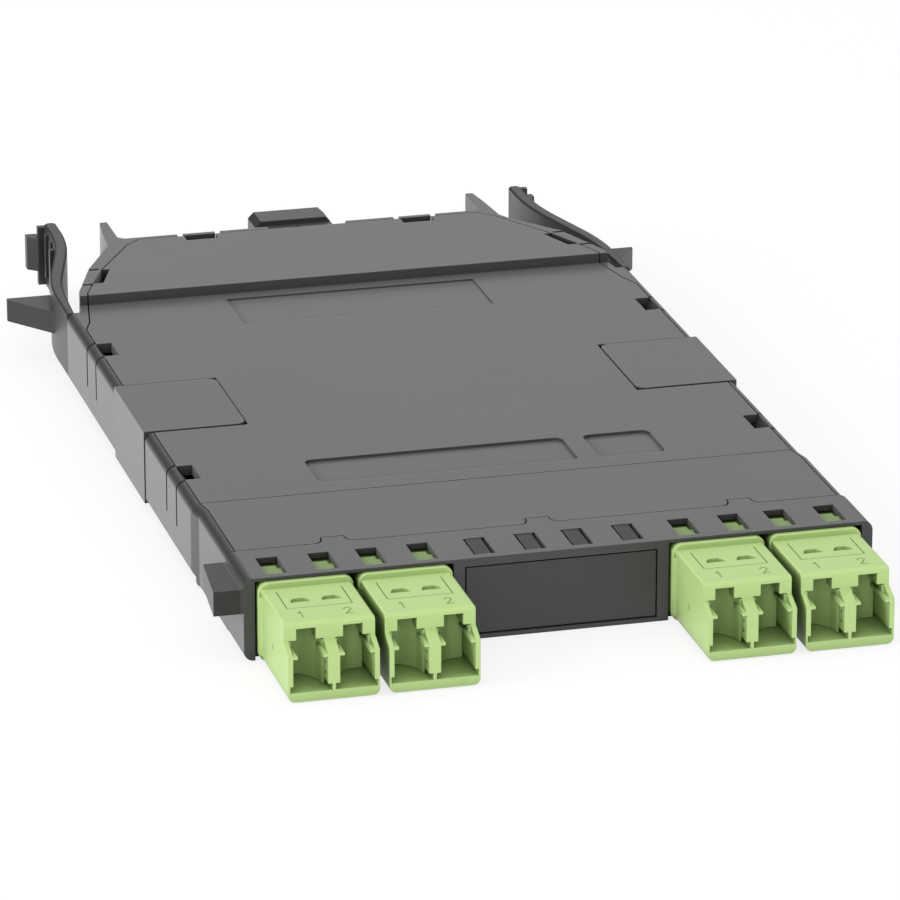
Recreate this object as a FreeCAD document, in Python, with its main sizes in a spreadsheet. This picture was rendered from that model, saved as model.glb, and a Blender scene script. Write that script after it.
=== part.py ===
import FreeCAD, Part
import math
import os
import Sketcher

# Fibre cassette, in millimetres. +X is to the right seen from the front, +Y runs to the rear and +Z is up.
# The origin lies on the underside, in the plane of the front frame's face, midway between its two ends.

SIZES = (
    # Housing: base and cover
    ("height", 11.5, "height of the housing in front of the step"),
    ("side_inset", 0.2, "how far the housing's sides lie inside the frame's ends"),
    ("housing_shift", -0.6, "sideways place of the housing's middle, seen from the frame's middle"),
    ("front_shift", 0.45, "how far the housing's front end is set to the right"),
    ("front_end", 26.8, "rear edge of that front end"),
    ("front_blend", 2.4, "length over which the sides pass into it"),
    ("foot_bevel", 1.8, "bevel of the long bottom edges behind the front end"),
    ("rim", 1.35, "width of the base's rim beside the cover"),
    ("ledge", 0.6, "width of the ledge that carries the cover"),
    ("floor_thick", 1.4, "thickness of the base's floor"),
    ("cover_thick", 1.45, "thickness of the cover's plate"),
    ("seam", 0.18, "gap round the cover and between the frame and the housing"),
    ("side_round", 1.3, "rounding of the long top edges"),
    ("foot_round", 1.0, "rounding of the bottom edges at the front end"),
    ("step_y", 116.0, "face of the step where the rear of the housing rises"),
    ("step_rise", 1.5, "height of that step"),
    ("jog_ahead", 11.1, "distance from the step forward to where the cover begins to draw in"),
    ("jog_long", 3.3, "length of the cover's jog"),
    ("jog_in", 1.2, "how far the cover draws in at the jog"),
    ("shoulder_in", 4.2, "how far the cover's shoulder lies inside the housing's side"),
    ("shoulder_back", 1.5, "distance from the step back to the shoulder"),
    ("corner_in", 8.5, "how far the start of the rear chamfer lies inside the side"),
    ("corner_back", 11.6, "distance from the step back to the rear chamfer"),
    ("tail_in", 15.6, "how far the end of the rear chamfer lies inside the side"),
    ("tail_back", 24.3, "distance from the step back to the cover's rear edge"),
    ("tail_cut", 1.2, "size of the small cut at the cover's rear corners"),
    ("split_ahead", 3.0, "distance from the step forward to where the latch arms leave the housing"),
    ("horn_long", 9.7, "how far the rear horns reach behind the cover"),
    ("horn_in", 14.2, "how far the horns' tips lie inside the side"),
    ("horn_skew", 0.95, "how much further out the left horn stands, and further in the right one"),
    ("horn_tip", 1.15, "width of a horn's tip"),
    ("horn_root", 1.7, "how far the horn's outer face at its root lies outside the tip's middle"),
    ("horn_foot_ahead", 3.2, "distance from the cover's rear edge forward to the horn's outer face"),
    ("horn_fillet", 0.9, "size of the fillet between a horn and the rear wall"),
    # Cover details
    ("label_left", -19.0, "left end of the label field"),
    ("label_right", 18.8, "right end of the label field"),
    ("label_long", 12.1, "length of the label field"),
    ("label_ahead", 2.5, "distance from the step forward to the label field"),
    ("label_deep", 0.25, "depth of the label field"),
    ("field_left", -24.4, "left end of the long recessed field"),
    ("field_right", 12.5, "right end of the long recessed field"),
    ("field_front", 33.2, "front edge of the recessed fields"),
    ("field_long", 9.4, "length of the recessed fields"),
    ("field_deep", 0.4, "depth of the recessed fields"),
    ("square_left", 15.4, "left end of the short recessed field"),
    ("square_right", 25.0, "right end of the short recessed field"),
    ("field_round", 1.2, "corner rounding of the recessed fields"),
    ("score_y", 29.4, "place of the score line across the cover"),
    ("score_wide", 0.2, "width of the score line"),
    ("score_deep", 0.12, "depth of the score line"),
    ("snap_deep", 2.2, "how far a snap notch reaches into the cover"),
    ("snap_front", 39.1, "front end of the front pair of snap notches"),
    ("snap_long", 5.6, "length of a snap notch"),
    ("snap_back", 12.2, "distance from the jog forward to the rear pair of snap notches"),
    ("snap_slit", 0.65, "width of the slits that free a snap tongue"),
    ("snap_drop", 6.5, "how far the slits run down the side"),
    ("snap_ramp", 1.3, "how far a snap tongue's ramp reaches inwards"),
    ("ear_long", 6.1, "length of the snap notch at the chamfer"),
    ("ear_ahead", 0.2, "distance from that notch to the rear chamfer"),
    ("ear_in", 7.3, "how far that notch reaches inside the side"),
    ("hook_in", 10.6, "how far the middle of a rear hook lies inside the rear chamfer's end"),
    ("hook_wide", 4.9, "width of a rear hook"),
    ("hook_gap", 0.9, "gap beside a rear hook"),
    ("hook_deep", 2.2, "depth of the cover's notch in front of a rear hook"),
    ("hook_cut", 2.2, "how far the slits beside a rear hook run down the rear wall"),
    # Edge clips
    ("clip_front", 58.85, "front edge of the edge clips"),
    ("clip_long", 20.6, "length of the edge clips"),
    ("clip_reach", 14.6, "how far a clip reaches inwards over the top"),
    ("clip_thick", 1.0, "thickness of an edge clip"),
    ("clip_proud", 0.1, "how far a clip stands out of the housing"),
    ("clip_gap", 0.2, "clearance of a clip in its recess"),
    ("clip_slot", 0.4, "width of the slot at either end of a clip"),
    ("clip_foot", 1.0, "height of the clip's lower edge"),
    ("clip_round", 1.4, "rounding of the clip's inner corners"),
    # Front frame
    ("end_wall", 1.53, "thickness of the frame's ends"),
    ("pillar", 1.52, "thickness of the pillars between the frame's bays"),
    ("frame_deep", 10.5, "depth of the front frame"),
    ("frame_wall", 0.8, "thickness of the frame's top wall"),
    ("frame_round", 1.3, "rounding of the frame's front corners"),
    ("centre_wide", 26.6, "width of the bay behind the blank"),
    ("tab_deep", 2.1, "how far the frame's tongues reach into the cover"),
    ("tab_wide", 2.9, "width of a tongue at its tip"),
    ("tab_slant", 1.15, "slant of a tongue's sides"),
    ("window_wide", 2.95, "width of a snap window"),
    ("window_front", 1.2, "front edge of the snap windows"),
    ("window_rear", 7.3, "rear edge of the snap windows"),
    ("window_pitch", 7.0, "distance between the two windows of one adapter"),
    ("stop_out", 4.0, "how far the stop block stands out of the frame's left end"),
    ("stop_tall", 3.4, "height of the stop block"),
    ("stop_drop", 1.45, "distance from the frame's top down to the stop block"),
    ("stop_deep", 10.7, "depth of the stop block"),
    ("stop_taper", 1.0, "how much less the stop block stands out at its rear"),
    ("stop_set", 0.2, "how far the stop block's front lies behind the frame's face"),
    # Blank panel
    ("blank_low", 0.7, "lower edge of the blank panel"),
    ("blank_drop", 1.25, "distance from the frame's top down to the blank panel"),
    ("blank_thick", 1.6, "thickness of the blank panel"),
    ("blank_set", 0.15, "how far the panel's face lies behind the frame's face"),
    ("blank_gap", 0.12, "gap round the blank panel"),
    ("blank_deep", 7.5, "depth of the blank's flanges"),
    ("blank_wall", 1.2, "thickness of the blank's flanges"),
    ("blank_catch_drop", 0.35, "distance from the frame's top down to the top of the blank's catches"),
    # Duplex adapters
    ("adapter_half", 6.1, "half width of an adapter's nose"),
    ("nose_drop", 0.77, "distance from the collar's top down to the nose's top"),
    ("jaw_y", 16.0, "how far the lower jaw stands out of the frame"),
    ("brow_back", 2.5, "how far the upper part stands behind the lower jaw"),
    ("brow_rise", 1.1, "height of the slope from the jaw to the upper part's front face"),
    ("brow_bevel", 0.5, "bevel over the upper part's front face"),
    ("nose_low", 0.15, "underside of an adapter's nose"),
    ("nose_round", 0.9, "rounding of the nose's bottom edges"),
    ("collar_edge", 0.12, "bevel round the collar's front"),
    ("flare_long", 0.9, "length of the flare from the collar to the nose's side"),
    ("flare_side", 0.4, "width of that flare at the collar"),
    ("collar_half", 6.45, "half width of an adapter's collar"),
    ("collar_play", 0.3, "clearance of a collar to its neighbours and to the frame"),
    ("collar_seat", 0.08, "clearance over a collar"),
    ("collar_lip", 0.45, "thickness of the frame's top wall over the collars"),
    ("collar_front", 0.7, "how far a collar stands out of the frame's face"),
    ("collar_deep", 1.35, "depth of a collar"),
    ("collar_round", 1.3, "corner rounding of a collar"),
    ("tail_half", 6.3, "half width of an adapter behind the collar"),
    ("tail_low", 0.95, "underside of an adapter behind the collar"),
    ("tail_drop", 0.4, "distance from the frame's ceiling down to the adapter's body"),
    ("tail_end", 10.4, "rear end of an adapter"),
    ("port_pitch", 6.25, "distance between the two ports of an adapter"),
    ("port_wide", 4.65, "width and height of a port"),
    ("plug_rest", 0.1, "clearance between the inner plugs and the housing's floor"),
    ("port_deep", 12.0, "depth of a port, from the jaw's face to the inner wall"),
    ("latch_wide", 2.6, "width of the channel for a plug's latch"),
    ("latch_roof", 0.9, "thickness of the nose's top above that channel"),
    ("lip", 0.4, "thickness of the lips at a port's top"),
    ("lip_wide", 0.62, "width of those lips"),
    ("brow_ceiling", 0.15, "height of the shoulders' ceiling above the upper part's lower end"),
    ("foot_high", 0.9, "height of the widened foot of a port"),
    ("foot_web", 0.45, "thickness of the web between the widened feet"),
    ("skin", 0.25, "thickness of the adapter's side wall at the widened foot"),
    ("wall_y", 3.0, "thickness of the adapter's inner wall"),
    ("barrel", 2.5, "diameter of the barrels that hold the sleeves"),
    ("barrel_long", 5.0, "length of a barrel in front of the inner wall"),
    ("barrel_back", 2.6, "length of a barrel behind the inner wall"),
    ("catch_wide", 2.7, "width of an adapter's or blank's catch"),
    ("catch_front", 1.3, "front of a catch"),
    ("catch_rear", 5.5, "rear of a catch"),
    ("catch_drop", 0.55, "distance from the frame's top down to a catch's top"),
    ("catch_nick", 0.55, "width of the nick at a catch's right rear corner"),
    ("catch_nick_long", 1.2, "length of that nick"),
    ("dimple_wide", 2.7, "width of a finger dimple"),
    ("dimple_pitch", 4.2, "distance between the two dimples of an adapter"),
    ("dimple_deep", 0.45, "depth of a finger dimple"),
    ("dimple_y", 5.65, "distance from the frame's face to a dimple's middle"),
    ("dimple_long", 1.4, "length of a dimple"),
    ("panel_half", 4.45, "half width of the grooved panel on the nose's top"),
    ("panel_front", 8.4, "distance from the frame's face to the panel's front groove"),
    ("panel_rear", 2.1, "distance from the frame's face to the rear ends of the side grooves"),
    ("groove", 0.14, "width and depth of those grooves"),
    ("pin_slot_y", 7.4, "distance from the frame's face to the slot in the nose's side"),
    ("pin_slot_z", 4.6, "height of that slot's middle"),
    ("pin_slot_wide", 0.3, "width and depth of that slot"),
    ("pin_slot_tall", 0.9, "height of that slot"),
    # Sleeves, ferrules, plugs and boots
    ("sleeve_out", 1.62, "outer diameter of a ceramic sleeve"),
    ("ferrule", 1.25, "diameter of a ferrule"),
    ("sleeve_set", 0.45, "how far a sleeve's ends lie inside its barrel"),
    ("sleeve_slit", 0.25, "width of a sleeve's slit"),
    ("sleeve_play", 0.05, "clearance round a sleeve"),
    ("plug_side", 4.5, "width and height of an inner plug"),
    ("plug_long", 11.5, "length of an inner plug"),
    ("plug_gap", 0.3, "gap between an inner plug and the barrels"),
    ("plug_latch", 0.9, "thickness of an inner plug's latch at its root"),
    ("plug_latch_rise", 1.4, "height of that latch above the plug"),
    ("ferrule_long", 11.0, "length of a ferrule"),
    ("ferrule_play", 0.02, "clearance of a ferrule in its plug"),
    ("boot_wide", 3.2, "diameter of a boot at the plug"),
    ("boot_thin", 1.9, "diameter of a boot at its end"),
    ("boot_long", 11.0, "length of a boot"),
    ("lead", 0.9, "diameter of a fibre lead"),
    # Rear adapter and its plug
    ("rear_half", 6.0, "half width of the rear adapter"),
    ("rear_rise", 0.8, "height of the rear adapter above the housing's floor"),
    ("rear_step", 0.8, "height of the rear adapter's collar above its deck"),
    ("rear_drop", 2.0, "distance from the raised rear's top down to the rear adapter's collar"),
    ("rear_inside", 14.3, "how far the rear adapter reaches inside the cover's rear edge"),
    ("rear_collar_long", 5.0, "length of the rear adapter's collar"),
    ("rear_out", 13.9, "how far the rear adapter stands out of the housing"),
    ("rear_wall", 0.9, "thickness of the housing's rear wall"),
    ("rear_play", 0.12, "clearance of the rear adapter in the rear wall"),
    ("flange_out", 1.2, "how far the rear adapter's flange stands out"),
    ("flange_thick", 1.4, "thickness of that flange"),
    ("rear_port_side", 1.3, "thickness of the rear adapter's sides"),
    ("rear_port_floor", 0.5, "thickness of the rear adapter's floor"),
    ("rear_port_roof", 1.1, "thickness of the rear adapter's deck over the port"),
    ("rear_inner_wall", 2.0, "thickness of the wall inside the rear adapter"),
    ("rear_port_deep", 13.0, "depth of the rear port"),
    ("rear_key_wide", 3.2, "width of the rear port's key slot"),
    ("rear_key_high", 0.5, "height of the rear port's key slot"),
    ("rear_hole", 1.6, "diameter of the round pocket in the rear adapter's deck"),
    ("rear_hole_deep", 0.5, "depth of that pocket"),
    ("rear_hole_x", 0.5, "sideways place of that pocket"),
    ("rear_hole_ahead", 1.9, "distance from the collar forward to that pocket"),
    ("rear_bevel", 0.9, "bevel of the collar's top corners"),
    ("multi_play", 0.15, "clearance round the inner multi-fibre plug"),
    ("multi_long", 24.3, "length of the inner multi-fibre plug's body"),
    ("multi_gap", 0.3, "gap between that plug's face and the wall inside the adapter"),
    ("multi_round", 1.2, "rounding of the inner multi-fibre plug's long edges"),
    ("multi_boot", 4.2, "diameter of its boot"),
    ("multi_boot_long", 11.0, "length of its boot"),
    ("trunk", 2.0, "diameter of the trunk cable"),
    ("loop_side", 7.2, "clearance of the trunk cable's loop to the housing's sides"),
    ("loop_long", 58.0, "length of the trunk cable's loop, forward from the plug's boot"),
    ("loop_under", 0.85, "clearance of the trunk cable's loop under the cover"),
    ("fan_wide", 10.0, "width of the fan-out block"),
    ("fan_long", 16.0, "length of the fan-out block"),
    ("fan_ahead", 21.0, "distance from the multi-fibre plug's boot forward to the fan-out block"),
    ("fan_high", 4.6, "height of the fan-out block"),
    ("fan_bevel", 0.6, "bevel of its top end edges"),
    ("fan_pitch", 1.05, "distance between leads at the fan-out block"),
    ("lead_run", 6.0, "straight run of the middle leads in front of the fan-out block"),
    ("lead_stagger", 3.0, "how much longer each next lead's straight run is"),
    ("lead_reach", 25.0, "distance over which the middle leads spread to their ports"),
    ("lead_fan", 1.5, "how much longer each next lead takes to spread"),
    ("post", 5.0, "diameter of the fibre posts in the base"),
    ("post_x", 19.0, "half distance between the fibre posts"),
    ("post_ahead", 1.5, "how far the front fibre posts stand in front of the fan-out block's face"),
    ("post_step", 12.0, "distance between the front and rear fibre posts"),
    # Latch arms
    ("arm_thick", 1.85, "thickness of a latch arm"),
    ("arm_thin", 1.15, "thickness of an arm's root"),
    ("arm_slot", 1.0, "width of the slot between an arm's root and the housing"),
    ("arm_edge", 0.35, "rounding of an arm's top edges"),
    ("arm_gap", 0.06, "gap between an arm's root and the housing"),
    ("arm_root", 13.7, "length of an arm's root up to where it turns inwards"),
    ("arm_tip_in", 5.25, "how far an arm's tip lies inside the side wall"),
    ("arm_slant", 19.8, "length of an arm's slanting part"),
    ("arm_grip", 10.2, "length of an arm's straight end"),
    ("arm_round", 45.0, "radius of an arm's curves"),
    ("tooth_out", 5.6, "how far the latch tooth stands out of an arm"),
    ("tooth_back", 10.2, "distance from the arm's root to the front of the latch tooth"),
    ("tooth_long", 7.8, "length of the latch tooth"),
    ("tooth_edge", 0.6, "length of the tooth's outermost edge"),
    ("tooth_tall", 3.4, "height of the latch tooth"),
    ("tooth_drop", 3.0, "distance from the housing's top down to the latch tooth"),
    ("rib_thick", 0.9, "thickness of a grip rib"),
    ("rib_low", 3.7, "lower end of the grip ribs"),
    ("rib_drop", 0.8, "distance from the housing's top down to the grip ribs"),
    ("rib_pitch", 3.75, "distance between grip ribs"),
    ("rib_ahead", 1.1, "distance from the arm's straight end forward to the first grip rib"),
    ("rib_out", 0.5, "how far the grip ribs stand out of an arm's tip"),
    ("rib_step", 0.8, "how much the front rib stands out further than the others"),
    ("plate_out", 1.1, "how far the arm's end plate stands out"),
    ("plate_low", 1.9, "lower end of that plate"),
    ("plate_thick", 1.0, "thickness of that plate"),
    ("pad_low", 4.1, "underside of the thumb pad"),
    ("pad_drop", 2.2, "distance from the housing's top down to the thumb pad"),
    ("pad_long", 1.8, "how far the thumb pad reaches behind the arm"),
    ("pad_thick", 1.5, "thickness of the thumb pad's tip"),
    ("pad_out", 2.6, "how far the thumb pad stands out of an arm's tip"),
)

doc = FreeCAD.newDocument("FibreCassette")
sheet = doc.addObject("Spreadsheet::Sheet", "dims")


class Size:
    """A length that knows both its number and the sheet expression that gives it."""

    def __init__(self, value, text):
        self.value = value
        self.text = text

    def __add__(self, other):
        other = as_size(other)
        return Size(self.value + other.value, f"({self.text} + {other.text})")

    def __radd__(self, other):
        return as_size(other) + self

    def __sub__(self, other):
        other = as_size(other)
        return Size(self.value - other.value, f"({self.text} - {other.text})")

    def __rsub__(self, other):
        return as_size(other) - self

    def __mul__(self, other):
        other = as_size(other)
        return Size(self.value * other.value, f"({self.text} * {other.text})")

    def __rmul__(self, other):
        return as_size(other) * self

    def __truediv__(self, other):
        other = as_size(other)
        return Size(self.value / other.value, f"({self.text} / {other.text})")

    def __neg__(self):
        return Size(-self.value, f"(0 - {self.text})")


def as_size(number):
    if isinstance(number, Size):
        return number
    return Size(float(number), f"({number})")


class Sizes:
    """Every named size of the sheet, as an attribute."""


def fill_sheet():
    sizes = Sizes()
    for row, (alias, value, meaning) in enumerate(SIZES, start=1):
        sheet.set(f"A{row}", meaning)
        sheet.set(f"B{row}", str(value))
        sheet.setAlias(f"B{row}", alias)
        setattr(sizes, alias, Size(value, f"dims.{alias}"))
    doc.recompute()
    return sizes


D = fill_sheet()
PIECES = []
RIBS = 3

# Cuts run this far past the face that they open, and arcs take this share of their shorter run
CLEAR = 1.0
ARC_SHARE = 0.45


def loop(points):
    """A closed outline through corner points, each a pair of sizes."""
    return ("loop", [(as_size(x), as_size(y)) for x, y in points])


def box(x0, x1, y0, y1):
    return loop([(x0, y0), (x1, y0), (x1, y1), (x0, y1)])


def disc(x, y, diameter):
    return ("disc", as_size(x), as_size(y), as_size(diameter) / 2)


def mirrored(points):
    """The right half's corner points, front to rear, followed by their mirror image."""
    return points + [(-as_size(x), y) for x, y in reversed(points)]


class Piece:
    """One moulded or turned piece: a body whose features are bound to the sheet."""

    # Outward direction of each sketch plane: the plan looks down, the front view looks back, the side view right.
    ROLES = {"plan": "XY_Plane", "front": "XZ_Plane", "side": "YZ_Plane"}

    def __init__(self, label, x=None, y=None, z=None):
        self.body = doc.addObject("PartDesign::Body", label)
        self.body.Label = label
        for axis, place in (("x", x), ("y", y), ("z", z)):
            if place is not None:
                self.body.setExpression(f"Placement.Base.{axis}", as_size(place).text)
        self.count = 0
        PIECES.append(self.body)

    def sketch(self, view, start, loops):
        self.count += 1
        sketch = self.body.newObject("Sketcher::SketchObject", f"{self.body.Name}_sketch{self.count}")
        origin = self.body.Origin.OriginFeatures
        plane = next(item for item in origin if item.Role == self.ROLES[view])
        sketch.AttachmentSupport = [(plane, "")]
        sketch.MapMode = "FlatFace"
        start = as_size(start)
        if view == "front":
            start = -start
        sketch.setExpression("AttachmentOffset.Base.z", start.text)
        for outline in loops:
            if outline[0] == "disc":
                self.add_disc(sketch, *outline[1:])
            else:
                self.add_loop(sketch, outline[1])
        return sketch

    def add_loop(self, sketch, points):
        first = sketch.GeometryCount
        spots = [FreeCAD.Vector(x.value, y.value, 0) for x, y in points]
        for here, there in zip(spots, spots[1:] + spots[:1]):
            sketch.addGeometry(Part.LineSegment(here, there), False)
        last = first + len(points) - 1
        for index in range(first, last + 1):
            after = index + 1 if index < last else first
            sketch.addConstraint(Sketcher.Constraint("Coincident", index, 2, after, 1))
        for index, (x, y) in enumerate(points, start=first):
            self.pin(sketch, index, 1, x, y)

    def add_disc(self, sketch, x, y, radius):
        index = sketch.GeometryCount
        centre = FreeCAD.Vector(x.value, y.value, 0)
        circle = Part.Circle(centre, FreeCAD.Vector(0, 0, 1), radius.value)
        sketch.addGeometry(circle, False)
        number = sketch.addConstraint(Sketcher.Constraint("Radius", index, radius.value))
        sketch.setExpression(f"Constraints[{number}]", radius.text)
        self.pin(sketch, index, 3, x, y)

    def pin(self, sketch, index, vertex, x, y):
        for kind, place in (("DistanceX", x), ("DistanceY", y)):
            constraint = Sketcher.Constraint(kind, -1, 1, index, vertex, place.value)
            number = sketch.addConstraint(constraint)
            sketch.setExpression(f"Constraints[{number}]", place.text)

    def volume(self):
        tip = self.body.Tip
        return tip.Shape.Volume if tip is not None else 0.0

    def extrude(self, kind, view, start, end, loops, reverse):
        before = self.volume()
        start = as_size(start)
        end = as_size(end)
        sketch = self.sketch(view, start, loops)
        feature = self.body.newObject(f"PartDesign::{kind}", f"{self.body.Name}_{kind}{self.count}")
        feature.Profile = sketch
        feature.Reversed = reverse
        feature.setExpression("Length", (end - start).text)
        doc.recompute()
        change = self.volume() - before
        if abs(change) < 1e-4 or (change > 0) != (kind == "Pad"):
            raise ValueError(f"{feature.Name} of {self.body.Label} changed nothing, or the wrong way")
        return feature

    def add(self, view, start, end, *loops):
        """Material between two heights (plan), depths (front) or widths (side)."""
        return self.extrude("Pad", view, start, end, loops, view == "front")

    def cut(self, view, start, end, *loops):
        return self.extrude("Pocket", view, start, end, loops, view != "front")

    def dress(self, kind, size, choose):
        """Round or bevel every edge that choose picks by its middle point and direction."""
        base = self.body.Tip
        names = []
        for number, edge in enumerate(base.Shape.Edges, start=1):
            ends = [vertex.Point for vertex in edge.Vertexes]
            if len(ends) == 2 and choose((ends[0] + ends[1]) / 2, ends[1] - ends[0]):
                names.append(f"Edge{number}")
        if not names:
            raise ValueError(f"no edge to dress on {self.body.Label}")
        feature = self.body.newObject(f"PartDesign::{kind}", f"{self.body.Name}_{kind}{self.count}_{len(names)}")
        feature.Base = (base, names)
        feature.setExpression("Radius" if kind == "Fillet" else "Size", as_size(size).text)
        base.Visibility = False
        doc.recompute()
        if "Invalid" in feature.State or not feature.Shape.isValid():
            raise ValueError(f"{kind} failed on {self.body.Label}")
        return feature

    def round(self, size, choose):
        return self.dress("Fillet", size, choose)

    def bevel(self, size, choose):
        return self.dress("Chamfer", size, choose)


def near(value, target, slack=0.02):
    return abs(value - as_size(target).value) < slack


def upright(way):
    return abs(way.x) < 1e-6 and abs(way.y) < 1e-6


def lengthwise(way):
    return abs(way.x) < 1e-6 and abs(way.z) < 1e-6


def crosswise(way):
    return abs(way.y) < 1e-6 and abs(way.z) < 1e-6


# Across: collar, adapter, bay, frame and housing
ADAPTER_PITCH = (D.collar_half + D.collar_play) * 2
BAY_WIDE = ADAPTER_PITCH * 2
BAY_X = D.centre_wide / 2 + D.pillar + BAY_WIDE / 2
FRAME_HALF = BAY_X + BAY_WIDE / 2 + D.end_wall
HALF_WIDTH = FRAME_HALF - D.side_inset
COVER_HALF = HALF_WIDTH - D.rim
SHOULDER_X = HALF_WIDTH - D.shoulder_in
CORNER_X = HALF_WIDTH - D.corner_in
TAIL_X = HALF_WIDTH - D.tail_in
HORN_X = HALF_WIDTH - D.horn_in
ROOT_X = HALF_WIDTH - D.arm_thin - D.arm_slot
EAR_X = HALF_WIDTH - D.ear_in
HOOK_X = TAIL_X - D.hook_in
CLIP_INNER = HALF_WIDTH - D.clip_reach

# Front to rear: frame, housing, rear adapter, inner plug and latch arms
HOUSING_FRONT = D.frame_deep + D.seam
FRONT_BACK = D.front_end + D.front_blend
JOG_Y = D.step_y - D.jog_ahead
JOG_END = JOG_Y + D.jog_long
SHOULDER_Y = D.step_y + D.shoulder_back
CORNER_Y = D.step_y + D.corner_back
TAIL_Y = D.step_y + D.tail_back
SPLIT_Y = D.step_y - D.split_ahead
HORN_Y = TAIL_Y + D.horn_long
HORN_FOOT = TAIL_Y - D.horn_foot_ahead
LABEL_REAR = D.step_y - D.label_ahead
LABEL_FRONT = LABEL_REAR - D.label_long
FIELD_REAR = D.field_front + D.field_long
SNAP_STARTS = (D.snap_front, JOG_Y - D.snap_back)
EAR_REAR = CORNER_Y - D.ear_ahead
EAR_FRONT = EAR_REAR - D.ear_long
CLIP_REAR = D.clip_front + D.clip_long
RISER_BACK = D.step_y + D.cover_thick
REAR_FACE = TAIL_Y + D.seam + D.rear_wall
REAR_END = REAR_FACE + D.rear_out
REAR_COLLAR = REAR_END - D.rear_collar_long
REAR_START = TAIL_Y - D.rear_inside
REAR_PORT_END = REAR_END - D.rear_port_deep
MULTI_END = REAR_PORT_END - D.rear_inner_wall - D.multi_gap
MULTI_START = MULTI_END - D.multi_long
MULTI_BOOT_Y = MULTI_START - D.multi_boot_long
FAN_REAR = MULTI_BOOT_Y - D.fan_ahead
FAN_FRONT = FAN_REAR - D.fan_long
POST_Y = FAN_FRONT - D.post_ahead
ARM_BEND_Y = SPLIT_Y + D.arm_root
ARM_BACK_Y = ARM_BEND_Y + D.arm_slant
ARM_END = ARM_BACK_Y + D.arm_grip
PAD_END = ARM_END + D.pad_long
TOOTH_FRONT = SPLIT_Y + D.tooth_back
TOOTH_REAR = TOOTH_FRONT + D.tooth_long
RIB_FIRST = ARM_BACK_Y - D.rib_ahead

# Heights: the outside hangs from the housing's top, the ports stand on its floor
TOP_REAR = D.height + D.step_rise
COVER_LOW = D.height - D.cover_thick
CEILING = D.height - D.frame_wall
COLLAR_CEILING = D.height - D.collar_lip
COLLAR_HIGH = COLLAR_CEILING - D.collar_seat
NOSE_HIGH = COLLAR_HIGH - D.nose_drop
TAIL_HIGH = CEILING - D.tail_drop
CATCH_HIGH = D.height - D.catch_drop
BLANK_HIGH = D.height - D.blank_drop
STOP_HIGH = D.height - D.stop_drop
STOP_LOW = STOP_HIGH - D.stop_tall
PORT_AXIS = D.floor_thick + D.plug_side / 2 + D.plug_rest
JAW_TOP = PORT_AXIS + D.port_wide / 2 + D.lip
BROW_LOW = JAW_TOP + D.brow_rise
BROW_Y = D.jaw_y - D.brow_back
LATCH_TOP = NOSE_HIGH - D.latch_roof
REAR_LOW = D.floor_thick + D.rear_rise
REAR_TOP = TOP_REAR - D.rear_drop
REAR_DECK = REAR_TOP - D.rear_step
REAR_PORT_LOW = REAR_LOW + D.rear_port_floor
REAR_PORT_TOP = REAR_DECK - D.rear_port_roof
REAR_PORT_AXIS = (REAR_PORT_LOW + REAR_PORT_TOP) / 2
TOOTH_HIGH = D.height - D.tooth_drop
TOOTH_LOW = TOOTH_HIGH - D.tooth_tall
RIB_HIGH = D.height - D.rib_drop
PAD_HIGH = D.height - D.pad_drop

# Depth of the ports' inner wall, and where the inner plugs begin and end
PORT_END = D.port_deep - D.jaw_y
WALL_BACK = PORT_END + D.wall_y
PLUG_FRONT = WALL_BACK + D.barrel_back + D.plug_gap
PLUG_END = PLUG_FRONT + D.plug_long


def housing_loop(right, left=None):
    """An outline of the housing from its half outlines; their first two points lie in the front end."""
    left = right if left is None else left
    points = []
    for side, half in ((1, right), (-1, left[::-1])):
        for x, y in half:
            in_front = y.value < FRONT_BACK.value - 0.1
            points.append((x * side + D.front_shift if in_front else x * side, y))
    return loop(points)


def cover_points(grow):
    """One half of the cover's outline, front to rear, grown outwards by a gap."""
    return [
        (COVER_HALF + grow, HOUSING_FRONT - grow),
        (COVER_HALF + grow, D.front_end),
        (COVER_HALF + grow, FRONT_BACK),
        (COVER_HALF + grow, JOG_Y + grow),
        (COVER_HALF - D.jog_in + grow, JOG_END + grow),
        (SHOULDER_X + grow, SHOULDER_Y),
        (CORNER_X + grow, CORNER_Y + grow / 2),
        (TAIL_X + D.tail_cut + grow, TAIL_Y - D.tail_cut * 2 + grow / 2),
        (TAIL_X - D.tail_cut + grow / 2, TAIL_Y + grow),
    ]


def open_front(points):
    """The same outline, carried forward through the front of the housing."""
    return [(points[0][0], HOUSING_FRONT - CLEAR)] + points[1:]


def base_half(skew):
    """One half of the base's outline, with its rear horn set outwards by a skew."""
    side = HALF_WIDTH
    wall = D.rim
    horn = HORN_X + skew
    return [
        (side, HOUSING_FRONT),
        (side, D.front_end),
        (side, FRONT_BACK),
        (side, SPLIT_Y),
        (ROOT_X, SPLIT_Y),
        (SHOULDER_X + wall, SHOULDER_Y + wall / 4),
        (CORNER_X + wall * 1.5, CORNER_Y + wall / 2),
        (horn + D.horn_root + wall, HORN_FOOT - wall),
        (horn + D.horn_root, HORN_FOOT + wall),
        (horn + D.horn_tip, HORN_Y - D.horn_long / 2),
        (horn + D.horn_tip / 2, HORN_Y),
        (horn - D.horn_tip / 2, HORN_Y),
        (horn - D.horn_tip / 2, REAR_FACE + D.horn_fillet),
        (horn - D.horn_tip / 2 - D.horn_fillet, REAR_FACE),
    ]


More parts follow.
